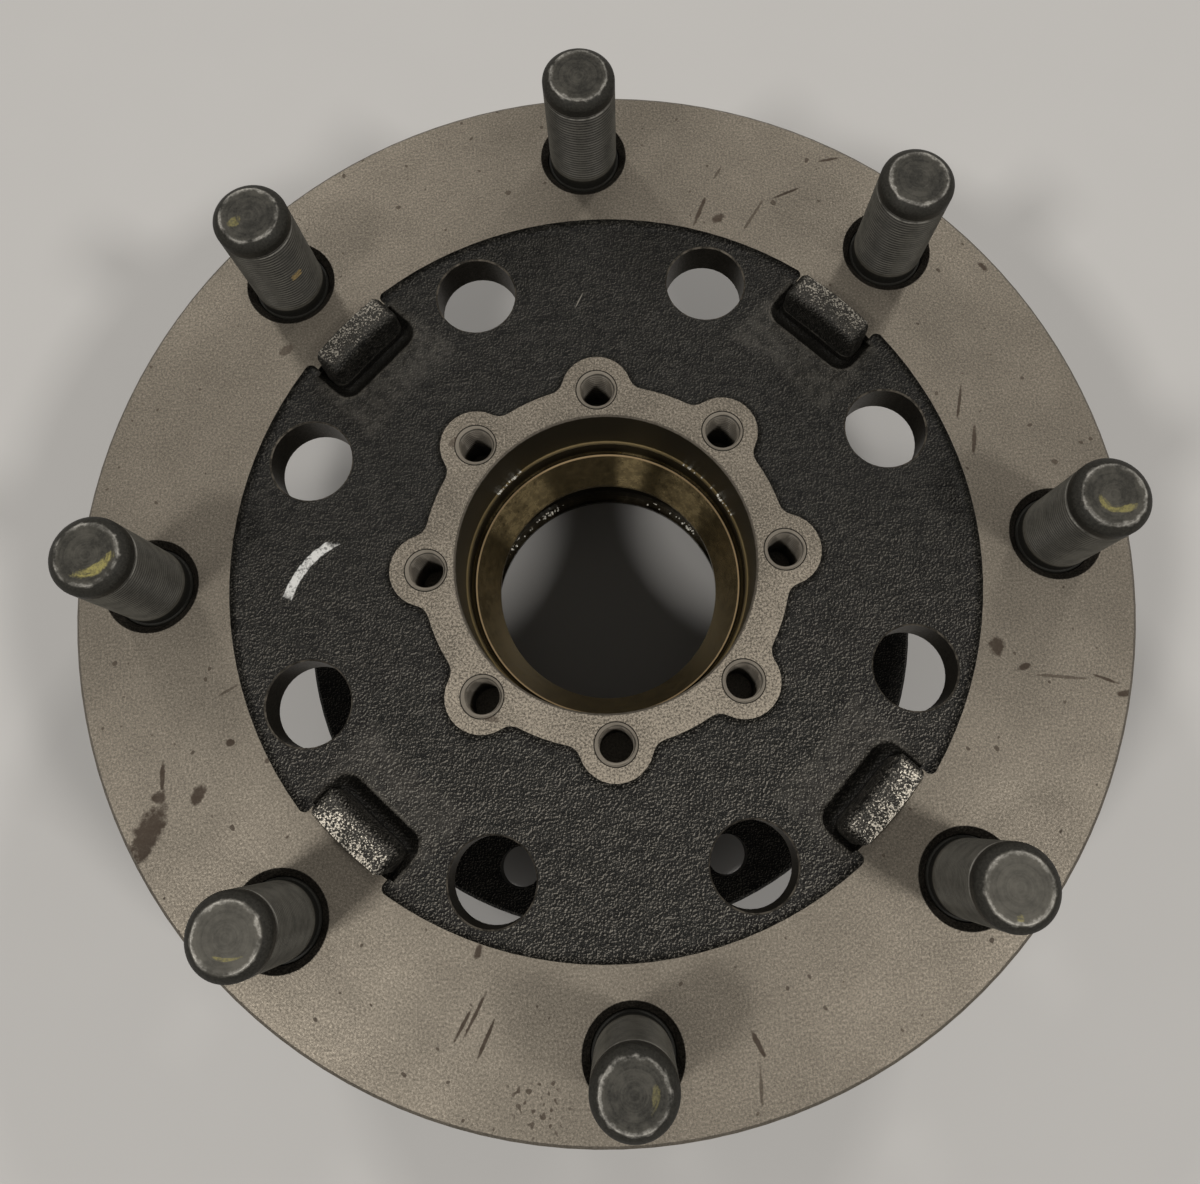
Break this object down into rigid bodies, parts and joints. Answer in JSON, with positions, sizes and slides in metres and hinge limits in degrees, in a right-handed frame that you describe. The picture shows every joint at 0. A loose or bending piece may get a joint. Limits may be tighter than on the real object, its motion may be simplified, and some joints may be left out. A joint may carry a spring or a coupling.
{
  "type": "wheel hub",
  "caption": "Heavy hub-piloted wheel hub: a machined wheel flange with pressed studs, a sunken black cast centre, pilot lugs, a lobed boss and bearing cups in the bore.",
  "frame": {"origin": "centre of the wheel stud circle, on the machined wheel face", "axes": "+Z along the hub's axis, outboard; +X through a wheel stud"},
  "size_m": [0.32, 0.32, 0.1778],
  "materials": {
    "casting": "black as-cast with bare machined faces",
    "stud": "dark phosphate",
    "cup": "oiled ground steel"
  },
  "bodies": {
    "root": {"hub_casting": "casting", "wheel_stud_1": "stud", "wheel_stud_2": "stud", "wheel_stud_3": "stud", "wheel_stud_4": "stud", "wheel_stud_5": "stud", "wheel_stud_6": "stud", "wheel_stud_7": "stud", "wheel_stud_8": "stud", "outer_bearing_cup": "cup", "inner_bearing_cup": "cup"}
  },
  "joints": []
}
